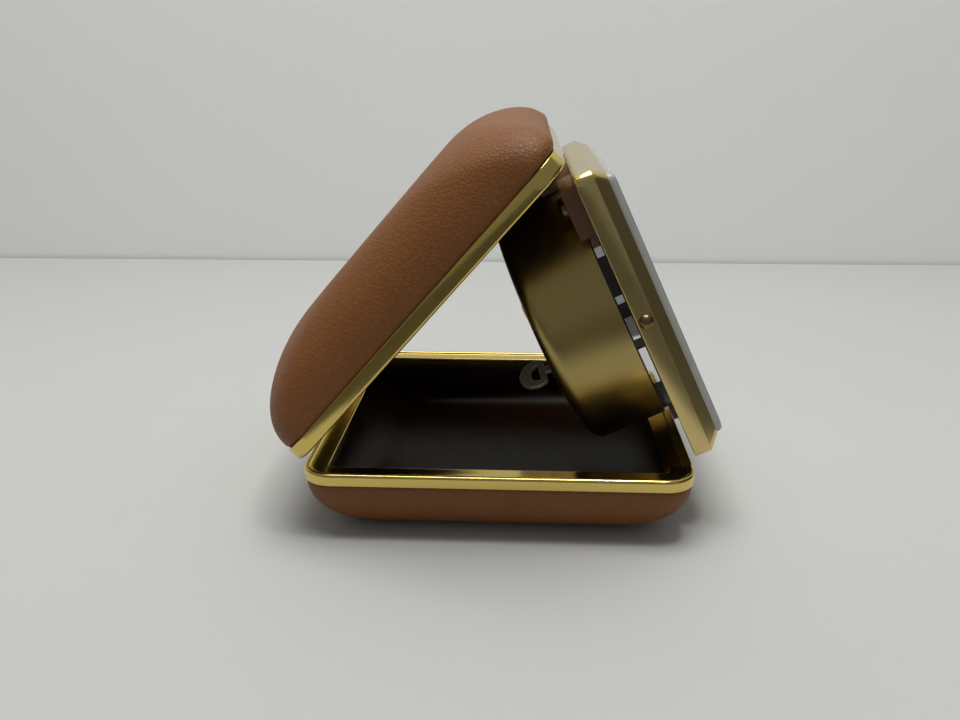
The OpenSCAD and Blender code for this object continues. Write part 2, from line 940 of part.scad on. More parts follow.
// Children drawn on a key's own axis, carried to their place and turned.
module on_key(p, turn) {
  on_clock()
    translate([p[0], 0, p[1]])
      rotate([0, turn, 0])
        children();
}

// Winding arbor from the front plate to the key's clevis, with its ratchet.
module key_stem(turn) {
  difference() {
    union() {
      rod([0, 0], key_stem_r, plate1_y, drum_in_y - 1);
      rod([0, 0], clevis_r, drum_in_y - 1.2, wing_pivot_y + 0.6);
      slab([0, 0], plate2_y + plate_t + 0.2, plate2_y + plate_t + 0.9)
        gear_shape(18, 3.4, turn);
    }
    translate([-3, wing_pivot_y - wing_hub_r - 0.12, -slot_half])
      cube([6, 4, 2 * slot_half]);
    translate([0, wing_pivot_y, -3])
      cylinder(h = 6, r = key_pin_r + running);
  }
}

module time_key_stem() {
  color("darkslategray")
    on_key(key_pos, time_key_angle)
      key_stem(time_key_angle);
}

module alarm_key_stem() {
  color("darkslategray")
    on_key(alarm_key_pos, 0)
      key_stem(0);
}

// D-shaped wing with a D-shaped hole, drawn flat along +x from its pivot.
module wing_outline() {
  arc_r = wing_w * 0.52;
  edge = 1.4;
  tip = 2.5;
  difference() {
    union() {
      translate([0, -wing_neck_w / 2])
        square([wing_neck_l + 1, wing_neck_w]);
      intersection() {
        translate([wing_neck_l, -wing_w / 2])
          square([wing_l - wing_neck_l, wing_w]);
        translate([wing_l - arc_r, 0])
          circle(arc_r);
      }
    }
    intersection() {
      translate([wing_neck_l + edge, -wing_w / 2])
        square([wing_l, wing_w]);
      translate([wing_l - arc_r + edge - tip, 0])
        circle(arc_r - edge);
    }
  }
}

// Wing on its pivot; side -1 lies towards -x, raised by the given angle.
module key_wing(side, raise) {
  difference() {
    translate([0, wing_pivot_y, 0])
      rotate([0, 0, side < 0 ? 180 - raise : raise]) {
        rotate([90, 0, 0])
          translate([0, 0, -wing_t / 2])
            linear_extrude(wing_t)
              wing_outline();
        translate([0, 0, -wing_neck_w / 2])
          cylinder(h = wing_neck_w, r = wing_hub_r);
      }
    translate([0, wing_pivot_y, -3])
      cylinder(h = 6, r = key_pin_r + running);
  }
}

module time_key_wing() {
  color("silver")
    on_key(key_pos, time_key_angle)
      key_wing(-1, time_wing_raise);
}

module alarm_key_wing() {
  color("silver")
    on_key(alarm_key_pos, 0)
      key_wing(1, alarm_wing_raise);
}

module key_pin() {
  translate([0, wing_pivot_y, 0.4 - clevis_r])
    cylinder(h = 2 * clevis_r - 0.8, r = key_pin_r);
}

module time_key_pin() {
  color("silver")
    on_key(key_pos, time_key_angle)
      key_pin();
}

module alarm_key_pin() {
  color("silver")
    on_key(alarm_key_pos, 0)
      key_pin();
}

// ---- going train ----
module train_arbor(p, y0 = plate1_y, y1 = plate2_y + plate_t) {
  rod(p, 0.45, y0, y1);
}

module third_wheel() {
  color("gold")
    on_clock() {
      train_arbor(third_pos);
      slab(third_pos, 9.7, 10.9)
        gear_shape(6, 9.18 / 9, heading(third_pos, [0, 0]) + 30);
      wheel(third_pos, 45, 7.65 * 45 / 51, heading(third_pos, fourth_pos), 7, 7.6);
    }
}

module fourth_wheel() {
  color("gold")
    on_clock() {
      train_arbor(fourth_pos);
      slab(fourth_pos, 6.7, 7.9)
        gear_shape(6, 0.9, heading(fourth_pos, third_pos) + 30);
      wheel(fourth_pos, 42, 5.88, heading(fourth_pos, escape_pos), 5, 5.6);
    }
}

// Escape wheel: fifteen raked teeth on a light rim.
module escape_wheel() {
  teeth = 15;
  color("gold")
    on_clock() {
      train_arbor(escape_pos);
      slab(escape_pos, 4.7, 5.9)
        gear_shape(6, 0.84, heading(escape_pos, fourth_pos) + 30);
      slab(escape_pos, 8.4, 8.8)
        difference() {
          polygon([for (i = [0:teeth - 1]) each [
            polar(2.9, 24 * i), polar(3.6, 24 * i + 9), polar(3.6, 24 * i + 11), polar(2.9, 24 * i + 12)]]);
          difference() {
            circle(2.3);
            circle(0.9);
            for (i = [0:3])
              rotate(90 * i)
                translate([0, -0.25])
                  square([2.6, 0.5]);
          }
        }
    }
}

module pallet_lever() {
  a = heading(pallet_pos, escape_pos);
  b = heading(pallet_pos, balance_pos);
  color("silver")
    on_clock() {
      rod(pallet_pos, 0.35, plate1_y, plate2_y + plate_t);
      slab(pallet_pos, 8.9, 9.3) {
        circle(0.9);
        for (d = [-52, 52])
          rotate(a + d)
            translate([0, -0.35])
              square([2.7, 0.7]);
        rotate(b)
          translate([0, -0.3])
            square([5.2, 0.6]);
      }
    }
}

module balance_wheel() {
  color("gold")
    on_clock() {
      rod(balance_pos, 0.35, plate1_y, plate2_y + plate_t);
      rod(balance_pos, 1, 8.6, 9.4);
      slab(balance_pos, 9.7, 10.4)
        spoked(1.1, 5.6, 3);
    }
}

module hairspring() {
  color("steelblue")
    on_clock()
      spiral(balance_pos, 0.6, 3.6, 6, 0.14, 10.8, 11.2);
}

// Spring clicks that hold the two ratchets, each on its screw.
module ratchet_clicks() {
  y0 = plate2_y + plate_t;
  color("silver")
    on_clock()
      for (p = click_pos) {
        rod(p, 0.9, y0, y0 + 1);
        slab(p, y0 + 0.2, y0 + 0.8)
          rotate(120)
            translate([0, -0.35])
              square([3.2, 0.7]);
      }
}

module alarm_hammer() {
  y0 = plate2_y + plate_t;
  color("silver")
    on_clock() {
      rod(hammer_pos, 0.6, plate2_y - 0.6, y0 + 1.6);
      slab(hammer_pos, y0 + 0.3, y0 + 1.1)
        rotate(-14)
          translate([0, -0.7])
            square([11.5, 1.4]);
      slab(hammer_pos + polar(12, -14), y0 + 0.3, y0 + 2.6)
        circle(1.7);
    }
}

// Small lever on the drum's back with a tab at its tip.
module rear_lever(p, l, w, angle) {
  rod(p, 0.8, drum_in_y, drum_back + 0.3);
  rod(p, 1.5, drum_back + 0.2, drum_back + 0.8);
  slab(p, drum_back + 0.2, drum_back + 0.7)
    rotate(angle)
      translate([0, -w / 2])
        square([l, w]);
  rod(p + polar(l, angle), w * 0.62, drum_back + 0.2, drum_back + 1.1);
}

module alarm_lever() {
  color("silver")
    on_clock()
      rear_lever(lever_pos, 6, 1.6, 215);
}

module regulator_lever() {
  color("silver")
    on_clock()
      rear_lever(regulator_pos, 4.6, 1, 140);
}

base_leather();
base_pan();
base_lining();
base_rim();
base_hinge_leaf();
case_hinge_pin();
lid_leather();
lid_pan();
lid_lining();
lid_rim();
lid_hinge_leaf();
clock_hinge_leaf();
clock_hinge_pin();
bezel_frame();
crystal();
dial();
hour_markers();
frame_back_plate();
chrome_ring();
drum_case();
hinge_bracket();
bracket_screws();
rest_pad();
latch_studs();
front_plate();
back_plate();
plate_pillars();
pillar_screws();
centre_arbor();
minute_hand();
hour_wheel();
hour_hand();
minute_wheel();
time_setting_arbor();
time_knob();
alarm_wheel();
alarm_hand();
alarm_setting_arbor();
alarm_knob();
going_barrel();
alarm_barrel();
time_mainspring();
alarm_mainspring();
time_key_stem();
alarm_key_stem();
time_key_wing();
alarm_key_wing();
time_key_pin();
alarm_key_pin();
third_wheel();
fourth_wheel();
escape_wheel();
pallet_lever();
balance_wheel();
hairspring();
ratchet_clicks();
alarm_hammer();
alarm_lever();
regulator_lever();
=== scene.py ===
"""Looks of a folding travel alarm clock: leather-covered case halves, brass rims, a square brass
clock frame with a domed crystal, a lacquered drum and folding winding keys."""

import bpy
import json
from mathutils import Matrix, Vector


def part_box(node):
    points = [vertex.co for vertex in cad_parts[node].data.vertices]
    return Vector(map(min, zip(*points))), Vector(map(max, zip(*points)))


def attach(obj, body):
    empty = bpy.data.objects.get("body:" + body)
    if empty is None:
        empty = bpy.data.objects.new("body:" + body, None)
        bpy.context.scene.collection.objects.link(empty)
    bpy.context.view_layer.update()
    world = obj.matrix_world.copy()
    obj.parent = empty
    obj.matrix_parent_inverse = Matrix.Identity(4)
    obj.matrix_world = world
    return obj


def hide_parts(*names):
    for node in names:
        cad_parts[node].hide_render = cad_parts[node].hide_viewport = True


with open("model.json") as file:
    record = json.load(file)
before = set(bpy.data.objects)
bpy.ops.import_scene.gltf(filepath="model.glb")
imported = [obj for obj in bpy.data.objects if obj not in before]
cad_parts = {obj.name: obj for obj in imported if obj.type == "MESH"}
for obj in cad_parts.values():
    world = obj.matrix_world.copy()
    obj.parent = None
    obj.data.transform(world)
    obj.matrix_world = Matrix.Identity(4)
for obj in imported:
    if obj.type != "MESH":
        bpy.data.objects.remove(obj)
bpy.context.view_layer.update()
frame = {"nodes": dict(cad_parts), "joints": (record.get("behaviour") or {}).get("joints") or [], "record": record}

import json
import math

import bpy
import numpy as np
from mathutils import Matrix, Vector

MM = 0.001
JOINTS = {j["name"]: j for j in frame["joints"]}


def corners(node):
    """Lowest and highest corner of a CAD node, in millimetres."""
    low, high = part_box(node)
    return np.array(low) / MM, np.array(high) / MM


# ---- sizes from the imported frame, in millimetres ----
HALF = corners("base_rim")[1][0]
SHELL_H = corners("base_leather")[1][2]
HINGE_Y, PART_Z = np.array(JOINTS["lid_open"]["pos_m"][1:]) / MM
HANG_Y, HANG_Z = np.array(JOINTS["clock_fold"]["pos_m"][1:]) / MM
DIAL_O = np.array(JOINTS["hands_turn"]["pos_m"]) / MM
DIAL_AXIS = np.array(JOINTS["hands_turn"]["axis"])
LEAN = math.asin(-DIAL_AXIS[2])
LID_ANGLE = math.acos((HINGE_Y - corners("lid_rim")[0][1]) / (HINGE_Y + HALF))
HALF_F = corners("bezel_frame")[1][0]

# ---- sizes of the maker's own, in millimetres ----
CORNER_R = 6.0
BASE_BAND, LID_BAND = PART_Z - SHELL_H, 3.0
LID_RISE, BASE_CURVE, LID_CURVE = 14.4, 11.5, 15.2
LEATHER, LINING_OUT, LINING_IN = 1.0, 1.5, 1.9
SEAM = 0.25
SHELF_W, SHELF_DROP = 4.8, 0.5
LIP_H = 2.5
NOTCH_X, NOTCH_IN, NOTCH_UP = 14.85, 4.1, 1.0
FRAME_R, WINDOW_R, BAND_W = 2.0, 1.4, 3.5
PIN_UP, PIN_BACK = 1.4, 4.7
SWING_R = math.hypot(2 * HALF_F + PIN_UP, PIN_BACK + BAND_W) + 0.2
BEZEL_Y, GLASS_Y, WINDOW = -5.7, -7.1, 27.2
DIAL_Y, PRINT_T = -2.4, 0.03
TRACK_R, NUMBER_R, NUMBER_SIZE = 23.8, 16.4, 4.4
RING_R = 27.2
WING_L, WING_R, WING_T, WING_NECK, WING_EDGE, WING_TIP = 8.0, 3.64, 0.9, 2.2, 1.4, 2.5
KNUCKLE_R, NECK_HALF = 0.7, 0.88
KEY_X, KEY_Z, WING_Y = 11.0, -7.0, 19.05
SCREW_X, SCREW_Z = 20.5, HALF_F - 5.5
EAR_IN, EAR_OUT, EAR_TOP, EAR_LOW, EAR_R = 28.5, 25.0, 28.2, 17.7, 1.2


# ---- placing ----
def turned(p, angle, y0, z0):
    """Points turned about a line along X through (y0, z0)."""
    y, z = p[..., 1] - y0, p[..., 2] - z0
    c, s = math.cos(angle), math.sin(angle)
    return np.stack([p[..., 0], y0 + y * c + z * s, z0 - y * s + z * c], -1)


def on_lid(p):
    """The shut lid's points, carried to the open lid: a turn about the case hinge."""
    return turned(p, LID_ANGLE, HINGE_Y, PART_Z)


def on_clock(p):
    """Points in the clock's own axes (right, back, up the dial) leaned back and set on the case."""
    return turned(p, LEAN, 0.0, 0.0) + DIAL_O


# ---- surfaces ----
def sheet_faces(rows, cols, wrap_rows, wrap_cols):
    """Quads between neighbouring rows and columns of a grid, round again where it wraps."""
    i, j = np.meshgrid(np.arange(rows - (not wrap_rows)), np.arange(cols - (not wrap_cols)), indexing="ij")
    i2, j2 = (i + 1) % rows, (j + 1) % cols
    return np.stack([i * cols + j, i * cols + j2, i2 * cols + j2, i2 * cols + j], -1).reshape(-1, 4)


def signed_volume(points, faces):
    """Sum of the tetrahedra between the faces and the origin: above 0 if the faces point outwards."""
    total = 0.0
    for f in faces:
        f = np.asarray(f)
        for k in range(1, f.shape[1] - 1):
            a, b, c = points[f[:, 0]], points[f[:, k]], points[f[:, k + 1]]
            total += np.einsum("ij,ij->", a, np.cross(b, c))
    return total


BOTH = (True, True)


def patch(grid, wrap_rows=False, wrap_cols=True, caps=(False, False), place=None):
    """Closed surface over a grid of points (rows, columns, xyz); a cap is a fan to the row's mean point."""
    grid = np.asarray(grid, float)
    if place is not None:
        grid = place(grid)
    rows, cols = grid.shape[:2]
    points, faces = grid.reshape(-1, 3), [sheet_faces(rows, cols, wrap_rows, wrap_cols)]
    j = np.arange(cols)
    for wanted, row in zip(caps, (0, rows - 1)):
        if wanted:
            mid = np.full(cols, len(points))
            a, b = row * cols + j, row * cols + (j + 1) % cols
            faces.append(np.stack([b, a, mid] if row == 0 else [a, b, mid], -1))
            points = np.vstack([points, grid[row].mean(0)])
    centre = points.mean(0)
    if signed_volume(points - centre, faces) < 0:
        faces = [f[:, ::-1] for f in faces]
    return points, faces


def piece(name, body, material, patches, replaces=(), sharp=40):
    """One object from patches: all points in metres, smooth but for edges sharper than the angle."""
    points, faces, start = [], [], 0
    for p, f in patches:
        points.append(p)
        faces += [row for part in f for row in (part + start).tolist()]
        start += len(p)
    mesh = bpy.data.meshes.new(name)
    mesh.from_pydata((np.vstack(points) * MM).tolist(), [], faces)
    mesh.update()
    mesh.shade_smooth()
    mesh.set_sharp_from_angle(angle=math.radians(sharp))
    mesh.materials.append(material)
    obj = bpy.data.objects.new(name, mesh)
    bpy.context.scene.collection.objects.link(obj)
    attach(obj, body)
    if replaces:
        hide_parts(*replaces)
    return obj


def square_loop(half, r, stations, arc=12):
    """Rounded square: four quarter arcs of radius r, with stations (-1 to 1) along each side between."""
    half, r = max(half, 0.02), min(max(r, 0.01), max(half, 0.02) - 0.005)
    t = np.linspace(0, math.pi / 2, arc + 1)
    straight = half - r
    arc_xy = np.stack([straight + r * np.cos(t), straight + r * np.sin(t)], -1)
    side_xy = np.stack([-stations * straight, np.full(len(stations), half)], -1)
    quarter = np.vstack([arc_xy, side_xy])
    turn = np.array([[0.0, 1.0], [-1.0, 0.0]])
    loops, q = [], quarter
    for _ in range(4):
        loops.append(q)
        q = q @ turn
    return np.vstack(loops)


PLAIN = np.linspace(-0.92, 0.92, 22)
NOTCHED = np.unique(np.round(np.concatenate([
    np.linspace(-31, 31, 22), [-29.95, -29.75, 29.75, 29.95, -14.95, -14.75, 14.75, 14.95]]) / 31.5, 5))


def swept(rows, stations=PLAIN, arc=12):
    """A profile of (half size, corner radius, height) rows, each carried round its rounded square."""
    count = 4 * (arc + 1 + len(stations))
    return np.stack([np.column_stack([square_loop(h, r, stations, arc), np.full(count, z)])
                     for h, r, z in rows])


def pillow_rows(w, curve, rise, grow, steps=26, tuck=0.0):
    """Quarter-ellipse from the edge (height 0) in to the crown; the edge tucks in over its first 0.8 mm."""
    f = np.linspace(0, math.pi / 2, steps + 1)
    ins = SEAM + w + (curve - SEAM - w) * (1 - np.cos(f))
    high = (rise - w) * np.sin(f)
    if tuck:
        extra = np.array([0.0, 0.12, 0.3, 0.55, 0.85])
        f0 = np.arcsin(extra / (rise - w))
        ins = np.concatenate([SEAM + w + (curve - SEAM - w) * (1 - np.cos(f0)), ins[high > 1.0]])
        high = np.concatenate([extra, high[high > 1.0]])
    radius = CORNER_R - 0.5 * w + grow * ins
    ins = ins + tuck * np.clip(1 - high / 0.8, 0, 1) ** 2
    return np.stack([HALF - ins, radius, high], -1)


def crown_rows(rows, steps=5):
    """Rows that carry the flat crown in to its middle."""
    h, r, z = rows[-1]
    t = np.linspace(0, 1, steps + 2)[1:-1]
    return np.stack([h * (1 - t), r * (1 - t) + 0.2, np.full(steps, z)], -1)


def dished(w0, w1, curve, rise, grow, band=0.0, tuck=0.0):
    """Outer skin from its middle out to the edge, down the band, and back in along the inner skin."""
    outer, inner = pillow_rows(w0, curve, rise, grow, tuck=tuck), pillow_rows(w1, curve, rise, grow)
    outer = np.vstack([outer, crown_rows(outer)])[::-1]
    inner = np.vstack([inner, crown_rows(inner)])
    edge = [outer[-1] - [0, 0, band], inner[0] - [0, 0, band]] if band else []
    return np.vstack([outer, *[[e] for e in edge], inner])


def in_base(p):
    """A dish drawn upwards from its edge, turned over to hang below the brass rim."""
    return np.stack([p[..., 0], p[..., 1], SHELL_H - p[..., 2]], -1)


def in_lid(p):
    """A dish drawn upwards from its edge, set on the lid's brass rim and carried with the lid."""
    return on_lid(p + [0, 0, PART_Z + LID_BAND])


def full_ends(p):
    """Ends of the lid's shell made fuller: most at the free end, where the skin rolls out over the
    edge of the brass."""
    z = p[..., 2]
    high = np.where(p[..., 1] < 0, np.clip(z / 1.4, 0, 1) ** 0.6 * np.clip((LID_RISE - z) / 9.0, 0, 1),
                    np.sin(math.pi * np.clip(z / (LID_RISE - 1.0), 0, 1)))
    near = np.clip((np.abs(p[..., 1]) / HALF - 0.45) / 0.5, 0, 1)
    push = np.where(p[..., 1] < 0, -1.5, 0.5) * high * near ** 2 * (3 - 2 * near)
    return np.stack([p[..., 0], p[..., 1] + push, p[..., 2]], -1)


def relief_z(y):
    """Height of the path that the clock's lower edge sweeps: a circle about the clock hinge."""
    return HANG_Z - np.sqrt(np.maximum(SWING_R ** 2 - (y - HANG_Y) ** 2, 0))


def cleared(p, below=0.0):
    """Points between the clock's sides that stand above its swing path, lowered onto it."""
    limit = relief_z(p[..., 1]) - below
    inside = (np.abs(p[..., 0]) < HALF_F + 0.4) & (p[..., 2] > limit)
    return np.stack([p[..., 0], p[..., 1], np.where(inside, limit, p[..., 2])], -1)


def arc_rows(centre, radius, start, end, n):
    """Profile points on an arc: (inset, depth) pairs."""
    t = np.radians(np.linspace(start, end, n))
    return np.stack([centre[0] - radius * np.cos(t), centre[1] - radius * np.sin(t)], -1)


def rim_profile(band):
    """Section of a brass rim as (inset, depth from the parting plane): a flat band, a rounded bead,
    the shelf, the lip at its inner edge, and back along the underside. The second array says which
    points are the underside."""
    top = np.vstack([
        [[0.12, band], [0.03, band - 0.05], [0.0, band - 0.16], [0.0, 1.2], [0.0, 0.8]],
        arc_rows((0.66, 0.66), 0.66, 0, 138, 16),
        [[1.3, SHELF_DROP - 0.1], [1.42, SHELF_DROP - 0.02], [1.7, SHELF_DROP], [3.2, SHELF_DROP],
         [4.1, SHELF_DROP], [4.45, SHELF_DROP]],
        arc_rows((4.5, SHELF_DROP + 0.3), 0.3, 90, 180, 6),
        [[SHELF_W, SHELF_DROP + LIP_H + 0.3], [SHELF_W - 0.1, SHELF_DROP + LIP_H + 0.5]]])
    under = np.array([[SHELF_W - 0.4, SHELF_DROP + LIP_H + 0.5], [SHELF_W - 0.5, SHELF_DROP + LIP_H + 0.35],
                      [SHELF_W - 0.5, 1.3], [SHELF_W - 0.6, 1.05], [3.2, 1.0], [0.8, 1.0], [0.55, 1.15],
                      [0.5, 1.4], [0.5, band - 0.1], [0.42, band]])
    return np.vstack([top, under]), np.r_[np.zeros(len(top), bool), np.ones(len(under), bool)]


def rim_rows(profile):
    """Half size, corner radius and depth for each point of a rim's section."""
    ins, depth = profile[:, 0], profile[:, 1]
    return np.stack([HALF - ins, np.maximum(CORNER_R - ins, 1.0), depth], -1)


# ---- material nodes ----
class Net:
    """A material's node tree: node() adds any node, and a result is a Sock."""

    def __init__(self, name):
        self.material = bpy.data.materials.new(name)
        self.material.use_nodes = True
        self.tree = self.material.node_tree
        self.shader = self.tree.nodes["Principled BSDF"]
        self.place = self.node("ShaderNodeTexCoord", {}, {}, "Object")

    def node(self, kind, settings, inputs, out=0):
        n = self.tree.nodes.new(kind)
        for key, value in settings.items():
            if key == "stops":
                ramp = n.color_ramp
                while len(ramp.elements) < len(value):
                    ramp.elements.new(0.5)
                for element, (at, colour) in zip(ramp.elements, value):
                    element.position, element.color = at, colour
            else:
                setattr(n, key, value)
        for key, value in inputs.items():
            self.join(value, n.inputs[key])
        return Sock(self, n.outputs[out])

    def join(self, value, socket):
        if isinstance(value, Sock):
            self.tree.links.new(value.socket, socket)
        else:
            socket.default_value = value

    def set(self, **values):
        """Inputs of the shader by name, with underscores for spaces."""
        for key, value in values.items():
            self.join(value, self.shader.inputs[key.replace("_", " ")])
        return self

    # short forms for the nodes that the finishes share
    def noise(self, scale, detail=2.0, rough=0.5, at=None):
        return self.node("ShaderNodeTexNoise", {}, {
            "Vector": at or self.place, "Scale": scale, "Detail": detail, "Roughness": rough})

    def ramp(self, value, *stops):
        return self.node("ShaderNodeValToRGB", {"stops": [(p, (*c, 1.0)) for p, c in stops]}, {"Fac": value})

    def mix(self, fac, a, b):
        return self.node("ShaderNodeMix", {"data_type": "RGBA"}, {0: fac, 6: a, 7: b}, 2)

    def span(self, value, low, high, to_low=0.0, to_high=1.0):
        return self.node("ShaderNodeMapRange", {}, {
            "Value": value, "From Min": low, "From Max": high, "To Min": to_low, "To Max": to_high})

    def bump(self, height, distance, strength=1.0, under=None):
        inputs = {"Height": height, "Distance": distance, "Strength": strength}
        if under is not None:
            inputs["Normal"] = under
        return self.node("ShaderNodeBump", {}, inputs)


class Sock:
    """A node's output, so that shader maths is written as plain expressions."""

    def __init__(self, net, socket):
        self.net, self.socket = net, socket

    def maths(self, operation, a, b):
        return self.net.node("ShaderNodeMath", {"operation": operation}, {0: a, 1: b})

    def __add__(self, other): return self.maths("ADD", self, other)
    def __radd__(self, other): return self.maths("ADD", other, self)
    def __sub__(self, other): return self.maths("SUBTRACT", self, other)
    def __rsub__(self, other): return self.maths("SUBTRACT", other, self)
    def __mul__(self, other): return self.maths("MULTIPLY", self, other)
    def __rmul__(self, other): return self.maths("MULTIPLY", other, self)


def rgb(*c):
    """An opaque colour."""
    return (*c, 1.0)


def leather():
    """Pebbled calf: raised cells of under a millimetre, creases darkened with painted shade, fine pores and slow
    colour drift.
    """
    net = Net("saddle_leather")
    warp = net.noise(900.0, 2.0)
    at = net.node("ShaderNodeVectorMath", {"operation": "MULTIPLY_ADD"}, {
        0: net.node("ShaderNodeTexNoise", {}, {"Scale": 700.0, "Detail": 1.0, "Vector": net.place}, "Color"),
        1: (0.0006,) * 3, 2: net.place})
    cell = net.node("ShaderNodeTexVoronoi", {"feature": "SMOOTH_F1"}, {
        "Vector": at, "Scale": 1250.0, "Smoothness": 0.6, "Randomness": 0.95}, "Distance")
    crease = net.node("ShaderNodeTexVoronoi", {"feature": "DISTANCE_TO_EDGE"}, {
        "Vector": at, "Scale": 1250.0, "Randomness": 0.95}, "Distance")
    pebble = net.span(crease, 0.0, 0.22)
    drift = net.noise(55.0, 3.0, 0.6)
    fine = net.noise(5200.0, 3.0, 0.6)
    tone = net.mix(drift, rgb(0.180, 0.062, 0.012), rgb(0.230, 0.084, 0.018))
    # painted shade: the colour darkens towards the creases between the pebbles
    tone = net.mix(pebble * 0.5 + 0.5, net.mix(0.45, tone, rgb(0.085, 0.025, 0.003)), tone)
    height = pebble * 0.55 - cell * 0.6 + fine * 0.12 + warp * 0.1
    net.set(Base_Color=tone, Roughness=net.span(fine - pebble * 0.25, 0.0, 0.6, 0.42, 0.6),
            Specular_IOR_Level=0.34, Normal=net.bump(height, 0.00012, 0.6))
    return net.material


def brass(name, colour, rough, haze=0.12):
    """Polished brass: slight colour drift and faint haze in the polish."""
    net = Net(name)
    drift = net.noise(140.0, 3.0, 0.55)
    mottle = net.noise(900.0, 4.0, 0.6)
    deep = tuple(c * 0.86 for c in colour)
    net.set(Base_Color=net.mix(drift, rgb(*deep), rgb(*colour)), Metallic=1.0,
            Roughness=net.span(drift * 0.6 + mottle * 0.4, 0.25, 0.75, rough, rough + haze))
    return net.material


def steel(name, colour, rough, haze=0.1, metallic=1.0):
    """Worked metal with a slightly uneven polish."""
    net = Net(name)
    mottle = net.noise(1300.0, 4.0, 0.6)
    net.set(Base_Color=net.mix(mottle, rgb(*[c * 0.8 for c in colour]), rgb(*colour)), Metallic=metallic,
            Roughness=net.span(mottle, 0.3, 0.7, rough, rough + haze))
    return net.material


def paint(name, colour, rough, coat=0.0, speck=0.1):
    """Paint or printed enamel: an even coat with fine dust in the film."""
    net = Net(name)
    dust = net.noise(2600.0, 3.0, 0.6)
    net.set(Base_Color=net.mix(dust, rgb(*[c * (1 - speck) for c in colour]), rgb(*colour)),
            Roughness=net.span(dust, 0.3, 0.7, rough, rough + 0.08), Coat_Weight=coat, Coat_Roughness=0.08,
            Normal=net.bump(dust, 0.00001, 0.25))
    return net.material


def lining():
    """Glossy moulded dish liner, dark brown with a faint wavy surface."""
    net = Net("moulded_liner")
    slow, dust = net.noise(60.0, 2.0), net.noise(3000.0, 3.0)
    net.set(Base_Color=net.mix(slow, rgb(0.016, 0.0062, 0.0022), rgb(0.027, 0.010, 0.0038)),
            Roughness=net.span(dust, 0.3, 0.7, 0.26, 0.36), Specular_IOR_Level=0.07,
            Normal=net.bump(slow, 0.0003, 0.3))
    return net.material


def glass():
    """Clear moulded crystal with faint rubbing in its polish."""
    net = Net("clear_crystal")
    rub = net.noise(500.0, 4.0)
    net.set(Base_Color=rgb(0.95, 0.96, 0.96), Roughness=net.span(rub, 0.35, 0.75, 0.0, 0.04))
    net.shader.inputs["Transmission Weight"].default_value = 0.98
    net.shader.inputs["IOR"].default_value = 1.49
    return net.material


def edge_haze():
    """Painted light on the crystal's moulded edge: a grey, half-clear sheet standing in for what is seen through
    and reflected in the edge.
    """
    net = Net("edge_haze")
    cloud = net.noise(300.0, 3.0)
    # grey tones that paint the light seen through and reflected in the edge
    net.set(Base_Color=net.mix(cloud, rgb(0.5, 0.51, 0.49), rgb(0.66, 0.67, 0.64)), Roughness=0.12, Alpha=0.6)
    return net.material


LEATHER_SKIN = leather()
RIM_BRASS = brass("rim_brass", (0.74, 0.56, 0.165), 0.13, haze=0.04)
FRAME_BRASS = brass("frame_brass", (0.70, 0.55, 0.24), 0.2, haze=0.05)
DRUM_LACQUER = brass("drum_lacquer", (0.45, 0.345, 0.13), 0.3, haze=0.05)
PLATE_BRASS = brass("plate_brass", (0.70, 0.54, 0.22), 0.3)
GILT = brass("gilt", (0.9, 0.70, 0.32), 0.18)
CHROME = steel("chrome", (0.86, 0.86, 0.87), 0.05, 0.05)
NICKEL = steel("nickel", (0.60, 0.57, 0.47), 0.36, 0.06, metallic=0.6)
DARK_STEEL = steel("dark_steel", (0.10, 0.085, 0.08), 0.3)
# a darker copy of brass: painted shade for the screw heads, which sit in the lid's shade at the top of the drum;
# the latch studs take it too
SHADED_BRASS = steel("shaded_brass", (0.20, 0.15, 0.07), 0.3)
POLISHED_STEEL = steel("polished_steel", (0.62, 0.62, 0.62), 0.2)
PIN_STEEL = steel("pin_steel", (0.55, 0.54, 0.52), 0.28)
BLUED_STEEL = steel("blued_steel", (0.05, 0.08, 0.26), 0.22)
PAN_STEEL = steel("pan_steel", (0.2, 0.2, 0.2), 0.5)
BRACKET_PAINT = paint("bracket_paint", (0.13, 0.056, 0.024), 0.34, coat=0.2)
RING_BLACK = paint("ring_black", (0.003, 0.003, 0.003), 0.25)
DIAL_ENAMEL = paint("dial_enamel", (0.83, 0.80, 0.70), 0.4, speck=0.03)
BLACK_ENAMEL = paint("black_enamel", (0.012, 0.012, 0.012), 0.3)
RED_ENAMEL = paint("red_enamel", (0.42, 0.03, 0.02), 0.3)
LINER = lining()
CRYSTAL, PAINTED_EDGE_LIGHT = glass(), edge_haze()

SLOT_MATERIAL = {
    "leather": LEATHER_SKIN, "pan_steel": PAN_STEEL, "lining": LINER, "rim_brass": RIM_BRASS,
    "pin_steel": PIN_STEEL, "frame_brass": FRAME_BRASS, "crystal": CRYSTAL, "dial": DIAL_ENAMEL,
    "gilt": GILT, "chrome": RING_BLACK, "drum_lacquer": DRUM_LACQUER, "bracket_paint": BRACKET_PAINT,
    "plate_brass": PLATE_BRASS, "blued_steel": BLUED_STEEL, "polished_steel": POLISHED_STEEL,
    "nickel": NICKEL, "dark_steel": DARK_STEEL, "black_hand": BLACK_ENAMEL, "red_hand": RED_ENAMEL}
for row in frame["record"]["subparts"]:
    node = frame["nodes"][row["node"]]
    node.data.materials.clear()
    node.data.materials.append(SLOT_MATERIAL[row["material_slot"]])
# the latch studs take the darker brass that paints shade on the screw heads
frame["nodes"]["latch_studs"].data.materials[0] = SHADED_BRASS

